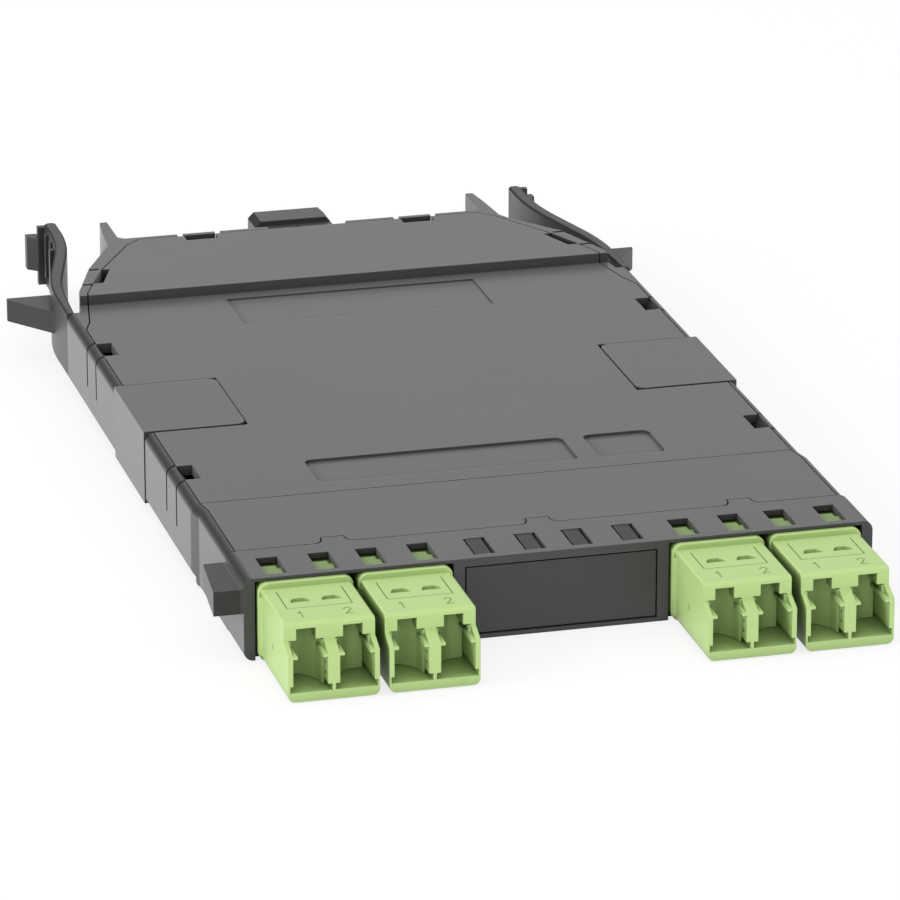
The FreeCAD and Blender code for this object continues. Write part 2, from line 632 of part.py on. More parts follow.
def build_base():
    base = Piece("base_shell", x=D.housing_shift)
    base.add("plan", 0, TOP_REAR, housing_loop(base_half(-D.horn_skew), base_half(D.horn_skew)))
    base.cut("plan", D.height, TOP_REAR + CLEAR, box(-HALF_WIDTH * 2, HALF_WIDTH * 2, 0, D.step_y))
    base.round(D.side_round, lambda mid, way: near(mid.z, D.height) and abs(way.y) > 1
               and abs(mid.x) > HALF_WIDTH.value - D.front_shift.value - 0.1)
    base.round(D.foot_round, lambda mid, way: near(mid.z, 0) and abs(way.y) > 1
               and abs(mid.x) > HALF_WIDTH.value - D.front_shift.value - 0.1)
    # Behind the front end the long bottom edges are bevelled, so that the housing slides into a tray
    bevels = []
    for side in (-1, 1):
        bevels.append(loop([
            ((HALF_WIDTH - D.foot_bevel) * side, 0),
            (HALF_WIDTH * side, D.foot_bevel),
            ((HALF_WIDTH + CLEAR) * side, D.foot_bevel),
            ((HALF_WIDTH + CLEAR) * side, -CLEAR),
            ((HALF_WIDTH - D.foot_bevel) * side, -CLEAR),
        ]))
    base.cut("front", D.front_end + D.front_blend / 2, SPLIT_Y + CLEAR, *bevels)
    above = TOP_REAR + CLEAR
    inner = cover_points(-D.ledge)
    base.cut("plan", D.floor_thick, above, housing_loop(open_front(inner)))
    low_recess = open_front(cover_points(D.seam))[:5]
    low_recess.append((SHOULDER_X + D.seam, SHOULDER_Y))
    low_recess.append((SHOULDER_X - D.ledge, RISER_BACK + D.seam))
    base.cut("plan", COVER_LOW - D.seam, above, housing_loop(low_recess))
    high_recess = [(SHOULDER_X + D.ledge, D.step_y - D.ledge)] + cover_points(D.seam)[5:]
    base.cut("plan", D.height - D.seam, above, loop(mirrored(high_recess)))
    # Ramps inside the snap tongues, over which the cover is pressed in
    for start in SNAP_STARTS:
        ramps = []
        for side in (-1, 1):
            ramps.append(loop([
                ((COVER_HALF + D.seam * 2) * side, D.height - D.seam),
                ((COVER_HALF + D.seam * 2) * side, COVER_LOW - D.seam * 2),
                ((COVER_HALF - D.snap_ramp) * side, COVER_LOW - D.seam * 2),
            ]))
        base.add("front", start + D.seam, start + D.snap_long - D.seam, *ramps)
    # The opening that holds the rear adapter, and the slits that free the two rear hooks
    gap = D.rear_play
    base.cut("front", TAIL_Y - D.rear_wall, REAR_FACE + CLEAR,
             box(-(D.rear_half + gap), D.rear_half + gap, REAR_LOW - gap, above))
    slits = []
    for side in (-1, 1):
        for edge in (-1, 1):
            start = HOOK_X * side + D.hook_wide / 2 * edge
            slits.append(box(start, start + D.hook_gap * edge, TAIL_Y - CLEAR, REAR_FACE + CLEAR))
    base.cut("plan", TOP_REAR - D.hook_cut, above, *slits)
    # Recesses for the edge clips, down both sides
    recesses = []
    ledges = []
    depth = D.clip_thick - D.clip_proud
    beside = HALF_WIDTH + CLEAR
    within = COVER_HALF - D.ledge - CLEAR
    for side in (-1, 1):
        inner_x = (HALF_WIDTH - depth - D.clip_gap) * side
        recesses.append(box(inner_x, beside * side, D.clip_front, CLIP_REAR))
        ledges.append(box(within * side, beside * side, D.clip_front, CLIP_REAR))
    base.cut("plan", D.clip_foot - D.clip_gap, above, *recesses)
    base.cut("plan", D.height - depth - D.clip_gap, above, *ledges)
    # Slits that free the snap tongues, and the posts that guide the fibres
    slits = []
    for start in SNAP_STARTS:
        for place in (start - D.snap_slit, start + D.snap_long):
            for side in (-1, 1):
                slits.append(box(within * side, beside * side, place, place + D.snap_slit))
    for place in (EAR_FRONT - D.snap_slit, EAR_REAR):
        for side in (-1, 1):
            slits.append(box((EAR_X - D.ledge) * side, beside * side, place, place + D.snap_slit))
    base.cut("plan", D.height - D.snap_drop, above, *slits)
    posts = []
    for side in (-1, 1):
        for step in (0, 1):
            posts.append(disc(D.post_x * side, POST_Y + D.post_step * step, D.post))
    base.add("plan", D.floor_thick / 2, COVER_LOW - D.seam * 2, *posts)
    return base


def tongue_points(middle, tip, root, start, foot):
    """A tongue with curved sides, from its start through its foot to its tip."""
    reach = D.tab_deep
    half = [
        (root, start),
        (root, foot),
        (root - D.tab_slant * 0.5, foot + reach * 0.12),
        (tip + D.tab_slant * 0.15, foot + reach * 0.42),
        (tip, foot + reach),
    ]
    right = [(middle + x, y) for x, y in half]
    left = [(middle - x, y) for x, y in reversed(half)]
    return right + left


def build_cover():
    cover = Piece("top_cover", x=D.housing_shift)
    cover.add("plan", COVER_LOW, TOP_REAR, housing_loop(cover_points(0)))
    wide = HALF_WIDTH * 2
    below = COVER_LOW - CLEAR
    above = TOP_REAR + CLEAR
    cover.cut("plan", D.height, above, box(-wide, wide, 0, D.step_y))
    cover.cut("plan", below, D.height, box(-wide, wide, RISER_BACK, HORN_Y))
    # Notches for the frame's tongues, the snap tongues and the edge clips
    notches = []
    for place in (-1, 0, 1):
        middle = BAY_X * place - D.housing_shift
        tip = D.tab_wide / 2 + D.seam
        root = tip + D.tab_slant
        notches.append(loop(tongue_points(middle, tip, root, HOUSING_FRONT - CLEAR, HOUSING_FRONT)))
    for side in (-1, 1):
        for start in SNAP_STARTS:
            notches.append(box((COVER_HALF - D.snap_deep) * side, (COVER_HALF + CLEAR) * side,
                               start, start + D.snap_long))
        notches.append(loop([
            (EAR_X * side, EAR_FRONT),
            (HALF_WIDTH * side, EAR_FRONT),
            (HALF_WIDTH * side, EAR_REAR),
            ((EAR_X - D.snap_deep) * side, EAR_REAR),
        ]))
    cover.cut("plan", below, above, *notches)
    depth = D.clip_thick - D.clip_proud + D.clip_gap
    clips = []
    for side in (-1, 1):
        inner = CLIP_INNER - D.clip_gap
        clips.append(box(inner * side, (COVER_HALF + CLEAR) * side, D.clip_front, CLIP_REAR))
    cover.cut("plan", D.height - depth, above, *clips)
    cover.cut("plan", D.height - D.field_deep, above,
              box(D.field_left, D.field_right, D.field_front, FIELD_REAR),
              box(D.square_left, D.square_right, D.field_front, FIELD_REAR))
    cover.round(D.field_round, lambda mid, way: upright(way) and near(mid.z, D.height - D.field_deep / 2)
                and D.field_front.value - 0.1 < mid.y < FIELD_REAR.value + 0.1)
    cover.cut("plan", D.height - D.label_deep, above,
              box(D.label_left, D.label_right, LABEL_FRONT, LABEL_REAR))
    cover.cut("plan", D.height - D.score_deep, above,
              box(-wide, wide, D.score_y, D.score_y + D.score_wide))
    notches = []
    for side in (-1, 1):
        middle = HOOK_X * side
        notches.append(box(middle - D.hook_wide / 2, middle + D.hook_wide / 2,
                           TAIL_Y - D.hook_deep, TAIL_Y + CLEAR))
    cover.cut("plan", D.height - CLEAR, above, *notches)
    return cover


def build_clip(label, side):
    clip = Piece(label, x=D.housing_shift)
    top = D.height + D.clip_proud
    outer = HALF_WIDTH + D.clip_proud
    front = D.clip_front + D.clip_slot
    rear = CLIP_REAR - D.clip_slot
    profile = [
        (CLIP_INNER * side, top - D.clip_thick),
        (CLIP_INNER * side, top),
        (outer * side, top),
        (outer * side, D.clip_foot),
        ((outer - D.clip_thick) * side, D.clip_foot),
        ((outer - D.clip_thick) * side, top - D.clip_thick),
    ]
    clip.add("front", front, rear, loop(profile))
    clip.round(D.clip_round, lambda mid, way: upright(way) and near(mid.x, CLIP_INNER * side))
    return clip


def adapter_places():
    near_place = BAY_X - ADAPTER_PITCH / 2
    far_place = BAY_X + ADAPTER_PITCH / 2
    return (-far_place, -near_place, near_place, far_place)


def blank_places():
    return (-(ADAPTER_PITCH / 2), ADAPTER_PITCH / 2)


def build_frame():
    frame = Piece("front_frame")
    frame.add("front", 0, D.frame_deep, box(-FRAME_HALF, FRAME_HALF, 0, D.height))
    frame.round(D.frame_round, lambda mid, way: lengthwise(way))
    # Bays: the outer two are open at the bottom just behind the face, where the collars sit
    bays = []
    notches = []
    for side in (-1, 1):
        middle = BAY_X * side
        half = BAY_WIDE / 2
        bays.append(box(middle - half, middle + half, D.frame_wall, CEILING))
        notches.append(box(middle - half, middle + half, -CLEAR, COLLAR_CEILING))
    half = D.centre_wide / 2
    bays.append(box(-half, half, D.blank_low - D.blank_gap, BLANK_HIGH + D.blank_gap))
    frame.cut("front", -CLEAR, D.frame_deep + CLEAR, *bays)
    frame.cut("front", -CLEAR, D.collar_deep, *notches)
    windows = []
    for middle in adapter_places() + blank_places():
        for side in (-1, 1):
            centre = middle + D.window_pitch / 2 * side
            windows.append(box(centre - D.window_wide / 2, centre + D.window_wide / 2,
                               D.window_front, D.window_rear))
    frame.cut("plan", BLANK_HIGH - CLEAR, D.height + CLEAR, *windows)
    tabs = []
    for place in (-1, 0, 1):
        middle = BAY_X * place
        tip = D.tab_wide / 2
        root = tip + D.tab_slant
        tabs.append(loop(tongue_points(middle, tip, root, D.frame_deep - D.frame_wall, D.frame_deep)))
    frame.add("plan", D.height - D.frame_wall, D.height, *tabs)
    # The stop block on the left end, which bottoms on the tray
    end = -FRAME_HALF
    rooted = end + D.end_wall / 3
    frame.add("plan", STOP_LOW, STOP_HIGH, loop([
        (rooted, D.stop_set),
        (end - D.stop_out, D.stop_set),
        (end - D.stop_out + D.stop_taper, D.stop_deep),
        (end, D.stop_deep),
        (end, D.frame_deep - D.frame_wall),
        (rooted, D.frame_deep - D.frame_wall),
    ]))
    return frame


def build_blank():
    blank = Piece("blank_panel")
    half = D.centre_wide / 2 - D.blank_gap
    low = D.blank_low
    high = BLANK_HIGH
    face = D.blank_set
    blank.add("front", face, face + D.blank_thick, box(-half, half, low, high))
    blank.add("front", face, D.blank_deep, box(-half, half, low, low + D.blank_wall),
              box(-half, half, high - D.blank_wall, high))
    catches = []
    for middle in blank_places():
        for side in (-1, 1):
            centre = middle + D.window_pitch / 2 * side
            catches.append(box(centre - D.catch_wide / 2, centre + D.catch_wide / 2,
                               D.catch_front, D.window_rear - D.seam * 3))
    blank.add("plan", high - D.blank_wall / 3, D.height - D.blank_catch_drop, *catches)
    return blank


def port_profile(centre, side):
    """The jaw of one port, seen from the front: side is 1 for the port on the right."""
    half = D.port_wide / 2
    floor_z = PORT_AXIS - half
    outer_wall = D.adapter_half - D.skin
    web = D.foot_web / 2
    foot = floor_z + D.foot_high
    under_lip = JAW_TOP - D.lip
    over_lip = JAW_TOP + D.lip
    narrow = half - D.lip_wide
    return loop([
        (web * side, floor_z),
        (outer_wall * side, floor_z),
        (outer_wall * side, foot),
        ((centre + half) * side, foot),
        ((centre + half) * side, under_lip),
        ((centre + narrow) * side, under_lip),
        ((centre + narrow) * side, over_lip),
        ((centre - narrow) * side, over_lip),
        ((centre - narrow) * side, under_lip),
        ((centre - half) * side, under_lip),
        ((centre - half) * side, foot),
        (web * side, foot),
    ])


def build_adapter(label, place):
    adapter = Piece(label, x=place)
    half = D.adapter_half
    nose = loop([
        (0, D.nose_low),
        (-D.jaw_y, D.nose_low),
        (-D.jaw_y, JAW_TOP),
        (-BROW_Y, BROW_LOW),
        (-BROW_Y, NOSE_HIGH - D.brow_bevel),
        (-BROW_Y + D.brow_bevel, NOSE_HIGH),
        (0, NOSE_HIGH),
    ])
    adapter.add("side", -half, half, nose)
    adapter.round(D.nose_round, lambda mid, way: lengthwise(way) and near(mid.z, D.nose_low))
    adapter.round(D.nose_round / 3, lambda mid, way: lengthwise(way) and near(mid.z, NOSE_HIGH))
    # The collar that fills the frame's bay, its flare to the nose, and the body behind it
    adapter.add("front", -D.collar_front, D.collar_deep - D.seam,
                box(-D.collar_half, D.collar_half, 0, COLLAR_HIGH))
    adapter.round(D.collar_round, lambda mid, way: lengthwise(way) and near(abs(mid.x), D.collar_half))
    adapter.bevel(D.collar_edge, lambda mid, way: near(mid.y, -D.collar_front)
                  and abs(mid.x) > half.value + 0.1 and upright(way))
    for side in (-1, 1):
        adapter.add("plan", D.nose_low + D.nose_round, NOSE_HIGH - D.nose_round, loop([
            ((half - D.skin) * side, -D.collar_front / 2),
            ((half - D.skin) * side, -D.collar_front - D.flare_long),
            (half * side, -D.collar_front - D.flare_long),
            ((half + D.flare_side) * side, -D.collar_front / 2),
        ]))
    adapter.add("front", D.collar_deep - D.seam, D.tail_end,
                box(-D.tail_half, D.tail_half, D.tail_low, TAIL_HIGH))
    catches = []
    for side in (-1, 1):
        centre = D.window_pitch / 2 * side
        catches.append(box(centre - D.catch_wide / 2, centre + D.catch_wide / 2,
                           D.catch_front, D.catch_rear))
    adapter.add("plan", TAIL_HIGH - D.groove, CATCH_HIGH, *catches)
    nicks = []
    for side in (-1, 1):
        edge = D.window_pitch / 2 * side + D.catch_wide / 2
        nicks.append(box(edge - D.catch_nick, edge + D.groove, D.catch_rear - D.catch_nick_long,
                         D.catch_rear + D.groove))
    adapter.cut("plan", TAIL_HIGH + D.groove, CATCH_HIGH + CLEAR, *nicks)
    # Two ports: the jaw's outline, the latch channel above it, and the shoulder room between
    centre = D.port_pitch / 2
    before = -D.jaw_y - CLEAR
    adapter.cut("front", before, PORT_END, port_profile(centre, -1), port_profile(centre, 1))
    shoulders = []
    channels = []
    reach = D.port_wide / 2
    for side in (-1, 1):
        middle = centre * side
        shoulders.append(box(middle - reach, middle + reach, JAW_TOP, BROW_LOW + D.brow_ceiling))
        channels.append(box(middle - D.latch_wide / 2, middle + D.latch_wide / 2,
                            JAW_TOP, LATCH_TOP))
    adapter.cut("front", before, PORT_END, *shoulders)
    adapter.cut("front", before, PORT_END, *channels)
    # Rear sockets for the inner plugs
    sockets = []
    low = PORT_AXIS - D.port_wide / 2
    for side in (-1, 1):
        middle = centre * side
        sockets.append(box(middle - reach, middle + reach, low, BROW_LOW + D.brow_ceiling))
    adapter.cut("front", WALL_BACK, D.tail_end + CLEAR, *sockets)
    barrels = [disc(centre * side, PORT_AXIS, D.barrel) for side in (-1, 1)]
    adapter.add("front", PORT_END - D.barrel_long, WALL_BACK + D.barrel_back, *barrels)
    bores = [disc(centre * side, PORT_AXIS, D.sleeve_out + D.sleeve_play * 2) for side in (-1, 1)]
    adapter.cut("front", PORT_END - D.barrel_long - CLEAR, WALL_BACK + D.barrel_back + CLEAR, *bores)
    # Half-moon dimples on the top, the grooves of its panel, and a small slot in each side
    dimples = []
    reach = D.dimple_wide / 2
    front = -D.dimple_y - D.dimple_long / 2
    rear = front + D.dimple_long
    for side in (-1, 1):
        middle = D.dimple_pitch / 2 * side
        dimples.append(loop([
            (middle - reach, front),
            (middle + reach, front),
            (middle + reach * 0.85, rear - D.dimple_long * 0.4),
            (middle + reach * 0.5, rear),
            (middle - reach * 0.5, rear),
            (middle - reach * 0.85, rear - D.dimple_long * 0.4),
        ]))
    adapter.cut("plan", NOSE_HIGH - D.dimple_deep, NOSE_HIGH + CLEAR, *dimples)
    panel = D.panel_half
    groove = D.groove
    adapter.cut("plan", NOSE_HIGH - groove, NOSE_HIGH + CLEAR, loop([
        (-panel, -D.panel_rear),
        (-panel, -D.panel_front),
        (panel, -D.panel_front),
        (panel, -D.panel_rear),
        (panel - groove, -D.panel_rear),
        (panel - groove, -D.panel_front + groove),
        (groove - panel, -D.panel_front + groove),
        (groove - panel, -D.panel_rear),
    ]))
    for side in (-1, 1):
        slot = box(-D.pin_slot_y, D.pin_slot_wide - D.pin_slot_y,
                   D.pin_slot_z - D.pin_slot_tall / 2, D.pin_slot_z + D.pin_slot_tall / 2)
        edges = sorted(((half - D.pin_slot_wide) * side, (half + CLEAR) * side), key=lambda size: size.value)
        adapter.cut("side", edges[0], edges[1], slot)
    return adapter


def build_sleeve(label, place):
    sleeve = Piece(label, x=place, z=PORT_AXIS)
    start = PORT_END - D.barrel_long + D.sleeve_set
    end = WALL_BACK + D.barrel_back - D.sleeve_set
    sleeve.add("front", start, end, disc(0, 0, D.sleeve_out))
    sleeve.cut("front", start - CLEAR, end + CLEAR, disc(0, 0, D.ferrule))
    sleeve.cut("front", start - CLEAR, end + CLEAR,
               box(-D.sleeve_slit / 2, D.sleeve_slit / 2, 0, D.sleeve_out))
    return sleeve


def build_plug(label, place):
    plug = Piece(label, x=place, z=PORT_AXIS)
    side = D.plug_side / 2
    start = PLUG_FRONT
    end = PLUG_END
    plug.add("front", start, end, box(-side, side, -side, side))
    plug.cut("front", start - CLEAR, start + D.plug_long / 3, disc(0, 0, D.barrel + D.plug_gap))
    plug.cut("front", start - CLEAR, end + CLEAR, disc(0, 0, D.ferrule + D.ferrule_play))
    latch = D.latch_wide / 2 - D.plug_gap
    thick = D.plug_latch
    plug.add("side", -latch, latch, loop([
        (start + thick, side - D.ferrule_play),
        (start + thick, side + thick),
        (end - thick * 3, side + D.plug_latch_rise),
        (end - thick * 2, side + D.plug_latch_rise - thick / 4),
        (start + thick * 2, side - D.ferrule_play),
    ]))
    return plug


def build_ferrule(label, place):
    ferrule = Piece(label, x=place, z=PORT_AXIS)
    ferrule.add("front", PLUG_END - D.ferrule_long, PLUG_END, disc(0, 0, D.ferrule))
    return ferrule


def build_boot(label, place):
    boot = doc.addObject("Part::Cone", label)
    boot.Label = label
    boot.setExpression("Radius1", (D.boot_wide / 2).text)
    boot.setExpression("Radius2", (D.boot_thin / 2).text)
    boot.setExpression("Height", D.boot_long.text)
    boot.Placement.Rotation = FreeCAD.Rotation(FreeCAD.Vector(1, 0, 0), -90)
    boot.setExpression("Placement.Base.x", place.text)
    boot.setExpression("Placement.Base.y", PLUG_END.text)
    boot.setExpression("Placement.Base.z", PORT_AXIS.text)
    PIECES.append(boot)
    return boot


def port_places():
    places = []
    for middle in adapter_places():
        places.append(middle - D.port_pitch / 2)
        places.append(middle + D.port_pitch / 2)
    return places


def build_rear_adapter():
    rear = Piece("rear_adapter", x=D.housing_shift)
    half = D.rear_half
    rear.add("front", REAR_START, REAR_END, box(-half, half, REAR_LOW, REAR_DECK))
    rear.add("front", REAR_COLLAR, REAR_END, box(-half, half, REAR_LOW, REAR_TOP))
    rear.bevel(D.rear_bevel, lambda mid, way: lengthwise(way) and near(mid.z, REAR_TOP))
    inner_face = TAIL_Y - D.ledge
    wide = half + D.flange_out
    rear.add("front", inner_face - D.flange_thick, inner_face, box(-wide, wide, REAR_LOW, REAR_DECK))
    rear.add("front", REAR_FACE + D.seam, REAR_FACE + D.seam + D.flange_thick,
             box(-wide, wide, REAR_LOW, REAR_DECK))
    port_half = half - D.rear_port_side
    port = box(-port_half, port_half, REAR_PORT_LOW, REAR_PORT_TOP)
    rear.cut("front", REAR_PORT_END, REAR_END + CLEAR, port)
    key = box(-D.rear_key_wide / 2, D.rear_key_wide / 2, REAR_PORT_AXIS, REAR_PORT_TOP + D.rear_key_high)
    rear.cut("front", REAR_PORT_END, REAR_END + CLEAR, key)
    rear.cut("front", REAR_START - CLEAR, REAR_PORT_END - D.rear_inner_wall, port)
    rear.cut("plan", REAR_DECK - D.rear_hole_deep, REAR_TOP + CLEAR,
             disc(D.rear_hole_x, REAR_COLLAR - D.rear_hole_ahead, D.rear_hole))
    return rear


def build_multi_plug():
    plug = Piece("inner_multi_plug", x=D.housing_shift)
    half = D.rear_half - D.rear_port_side - D.multi_play
    plug.add("front", MULTI_START, MULTI_END,
             box(-half, half, REAR_PORT_LOW + D.multi_play, REAR_PORT_TOP - D.multi_play))
    plug.round(D.multi_round, lambda mid, way: lengthwise(way))
    plug.add("front", MULTI_BOOT_Y, MULTI_START, disc(0, REAR_PORT_AXIS, D.multi_boot))
    return plug


def build_fan_block():
    fan = Piece("fan_out_block")
    half = D.fan_wide / 2
    fan.add("plan", D.floor_thick, D.floor_thick + D.fan_high, box(-half, half, FAN_FRONT, FAN_REAR))
    fan.bevel(D.fan_bevel, lambda mid, way: crosswise(way) and near(mid.z, D.floor_thick + D.fan_high))
    return fan


def arc_path(points):
    """Straight runs joined by tangent arcs, each as large as its two runs allow."""
    edges = []
    radii = []
    start = points[0]
    for before, corner, after in zip(points, points[1:], points[2:]):
        way_in = (corner - before).normalize()
        way_out = (after - corner).normalize()
        turn = way_in.getAngle(way_out)
        shorter = min((corner - before).Length, (after - corner).Length)
        trim = ARC_SHARE * shorter
        radius = trim / math.tan(turn / 2)
        radii.append(radius)
        first = corner - way_in * trim
        last = corner + way_out * trim
        inward = (way_out - way_in).normalize()
        centre = corner + inward * (radius / math.cos(turn / 2))
        middle = centre + (corner - centre).normalize() * radius
        edges.append(Part.LineSegment(start, first).toShape())
        edges.append(Part.Arc(first, middle, last).toShape())
        start = last
    edges.append(Part.LineSegment(start, points[-1]).toShape())
    return Part.Wire(edges), radii


def build_cord(label, route, diameter):
    points = [FreeCAD.Vector(x.value, y.value, z.value) for x, y, z in route]
    wire, radii = arc_path(points)
    way = (points[1] - points[0]).normalize()
    ring = Part.Wire([Part.Circle(points[0], way, diameter.value / 2).toShape()])
    tube = wire.makePipeShell([ring], True, False)
    solid = tube if tube.ShapeType == "Solid" else Part.Solid(tube.Shells[0])
    ideal = math.pi * (diameter.value / 2) ** 2 * wire.Length
    print(f"{label}: radii {[round(radius, 1) for radius in radii]}, "
          f"volume {solid.Volume:.2f} of {ideal:.2f} mm3")
    cord = doc.addObject("Part::Feature", label)
    cord.Label = label
    cord.Shape = solid
    cord.Placement = FreeCAD.Placement()
    PIECES.append(cord)
    return cord


def build_leads():
    """Eight leads from the fan-out block to the boots, the outermost turning first."""
    places = port_places()
    last = len(places) - 1
    for number, place in enumerate(places):
        rank = min(number, last - number)
        start_x = D.fan_pitch * (number - last / 2)
        route = [
            (start_x, FAN_FRONT, PORT_AXIS),
            (start_x, FAN_FRONT - D.lead_run - D.lead_stagger * rank, PORT_AXIS),
            (place, FAN_FRONT - D.lead_reach - D.lead_fan * rank, PORT_AXIS),
            (place, PLUG_END + D.boot_long, PORT_AXIS),
        ]
        build_cord(f"fibre_lead_{number + 1}", route, D.lead)


def build_trunk():
    """The trunk leaves the multi-fibre plug, makes one loop above the leads and ends in the block."""
    low = REAR_PORT_AXIS
    high = COVER_LOW - D.trunk / 2 - D.loop_under
    x = D.housing_shift * 2
    side = COVER_HALF - D.ledge - D.loop_side
    block_z = D.floor_thick + D.fan_high / 2
    # Turns of the loop, as shares of its half width and length, and its height above the lower run
    turns = [
        (0.17, 0.26, 0.46),
        (0.51, 0.36, 0.91),
        (0.83, 0.47, 1.0),
        (1.0, 0.67, 1.0),
        (0.77, 0.9, 1.0),
        (0.2, 1.0, 1.0),
        (-0.43, 0.93, 1.0),
        (-0.86, 0.71, 1.0),
        (-0.94, 0.4, 1.0),
        (-0.74, 0.155, 1.0),
        (-0.4, 0.043, 0.74),
    ]
    route = [(x, MULTI_BOOT_Y, low), (x, MULTI_BOOT_Y - D.loop_long * 0.12, low)]
    for across, along, rise in turns:
        route.append((x + side * across, MULTI_BOOT_Y - D.loop_long * along, low + (high - low) * rise))
    route.append((x - side * 0.13, MULTI_BOOT_Y - D.loop_long * 0.086, low + (high - low) * 0.04))
    route.append((x * 0, FAN_REAR + D.fan_ahead * 0.4, block_z))
    route.append((x * 0, FAN_REAR, block_z))
    build_cord("trunk_cable", route, D.trunk)


def build_arm(label, side):
    """A springy arm: it leaves the side wall, curves inwards and ends in a ribbed grip."""
    arm = Piece(label, x=D.housing_shift)
    outer = HALF_WIDTH
    tip = outer - D.arm_tip_in
    tip_in = tip - D.arm_thick
    start = SPLIT_Y + D.arm_gap
    lag = D.arm_thick / 8
    strip = [
        (outer * side, start),
        (outer * side, ARM_BEND_Y),
        (tip * side, ARM_BACK_Y),
        (tip * side, ARM_END),
        (tip_in * side, ARM_END),
        (tip_in * side, ARM_BACK_Y - lag),
        ((outer - D.arm_thick) * side, ARM_BEND_Y - lag),
        ((outer - D.arm_thin) * side, start),
    ]
    arm.add("plan", D.foot_bevel, D.height, loop(strip))
    turns = (ARM_BEND_Y.value, ARM_BACK_Y.value)
    arm.round(D.arm_round, lambda mid, way: upright(way)
              and min(abs(mid.y - turn) for turn in turns) < 1.0)
    arm.round(D.arm_thick * 0.4, lambda mid, way: upright(way) and near(mid.y, ARM_END))
    arm.round(D.arm_edge, lambda mid, way: near(mid.z, D.height) and abs(way.y) > 3)
    # The latch tooth, with its ramp to the front and its square face to the rear
    arm.add("plan", TOOTH_LOW, TOOTH_HIGH, loop([
        ((outer - D.arm_thick / 2) * side, TOOTH_FRONT - D.arm_thick),
        ((outer + D.tooth_edge / 4) * side, TOOTH_FRONT),
        ((outer + D.tooth_out) * side, TOOTH_REAR - D.tooth_edge),
        ((outer + D.tooth_out) * side, TOOTH_REAR),
        ((outer - D.arm_thick * 1.3) * side, TOOTH_REAR),
    ]))
    # Grip ribs, of which the front one stands out furthest, the end plate and the thumb pad
    ribs = []
    for number in range(RIBS):
        start_y = RIB_FIRST + D.rib_pitch * number
        reach = tip + D.rib_out + (D.rib_step if number == 0 else 0)
        ribs.append(box((tip - D.arm_thick / 2) * side, reach * side, start_y, start_y + D.rib_thick))
    arm.add("plan", D.rib_low, RIB_HIGH, *ribs)
    plate = ARM_END - D.plate_thick
    arm.add("plan", D.plate_low, D.height - D.arm_edge,
            box((tip - D.arm_thick / 2) * side, (tip + D.plate_out) * side, plate, ARM_END))
    arm.add("plan", D.pad_low, PAD_HIGH, loop([
        ((tip - D.arm_thick / 2) * side, plate),
        ((tip + D.plate_out) * side, plate),
        ((tip + D.pad_out) * side, PAD_END - D.pad_thick),
        ((tip + D.pad_out) * side, PAD_END),
        ((tip + D.pad_out - D.pad_thick) * side, PAD_END),
        ((tip - D.arm_thick / 2) * side, ARM_END - D.arm_thick / 4),
    ]))
    return arm


def build_all():
    build_base()
    build_cover()
    build_frame()
    build_blank()
    for number, place in enumerate(adapter_places(), start=1):
        build_adapter(f"duplex_adapter_{number}", place)
    for number, place in enumerate(port_places(), start=1):
        build_sleeve(f"ceramic_sleeve_{number}", place)
        build_plug(f"inner_plug_{number}", place)
        build_ferrule(f"ferrule_{number}", place)
        build_boot(f"boot_{number}", place)
    build_rear_adapter()
    build_multi_plug()
    build_fan_block()
    build_leads()
    build_trunk()
    build_clip("left_edge_clip", -1)
    build_clip("right_edge_clip", 1)
    build_arm("left_latch_arm", -1)
    build_arm("right_latch_arm", 1)


def check_and_write():
    doc.recompute()
    for item in doc.Objects:
        if "Invalid" in item.State or "Error" in item.State:
            raise ValueError(f"{item.Name} failed: {item.State}")
    os.makedirs("parts", exist_ok=True)
    for piece in PIECES:
        shape = piece.Shape
        if shape.isNull() or not shape.isValid():
            raise ValueError(f"{piece.Label} has no valid shape")
        print(f"{piece.Label}: {len(shape.Solids)} solid, {shape.Volume:.1f} mm3")
        shape.exportStep(f"parts/{piece.Label}.step")


build_all()
check_and_write()
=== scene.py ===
import math

import bmesh
import bpy
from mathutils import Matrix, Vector


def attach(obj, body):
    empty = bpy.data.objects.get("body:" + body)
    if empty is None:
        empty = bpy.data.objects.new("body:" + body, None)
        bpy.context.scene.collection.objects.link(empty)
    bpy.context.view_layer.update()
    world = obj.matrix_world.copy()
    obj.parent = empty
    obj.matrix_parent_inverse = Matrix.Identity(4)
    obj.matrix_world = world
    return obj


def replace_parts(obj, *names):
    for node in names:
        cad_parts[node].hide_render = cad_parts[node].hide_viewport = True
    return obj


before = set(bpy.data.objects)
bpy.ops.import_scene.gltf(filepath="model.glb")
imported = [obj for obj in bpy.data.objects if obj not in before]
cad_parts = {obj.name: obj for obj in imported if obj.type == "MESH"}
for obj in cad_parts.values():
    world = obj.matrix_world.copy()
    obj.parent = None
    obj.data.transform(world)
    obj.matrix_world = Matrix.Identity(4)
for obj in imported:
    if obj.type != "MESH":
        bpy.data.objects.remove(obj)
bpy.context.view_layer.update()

MM = 0.001

# Camera, solved from the photograph: angles in degrees, lens in millimetres, place in metres
CAMERA_AZIMUTH = -14.836
CAMERA_ELEVATION = 19.865
CAMERA_LENS = 252.15
CAMERA_PLACE = (-0.21440867, -0.75147725, 0.30786925)

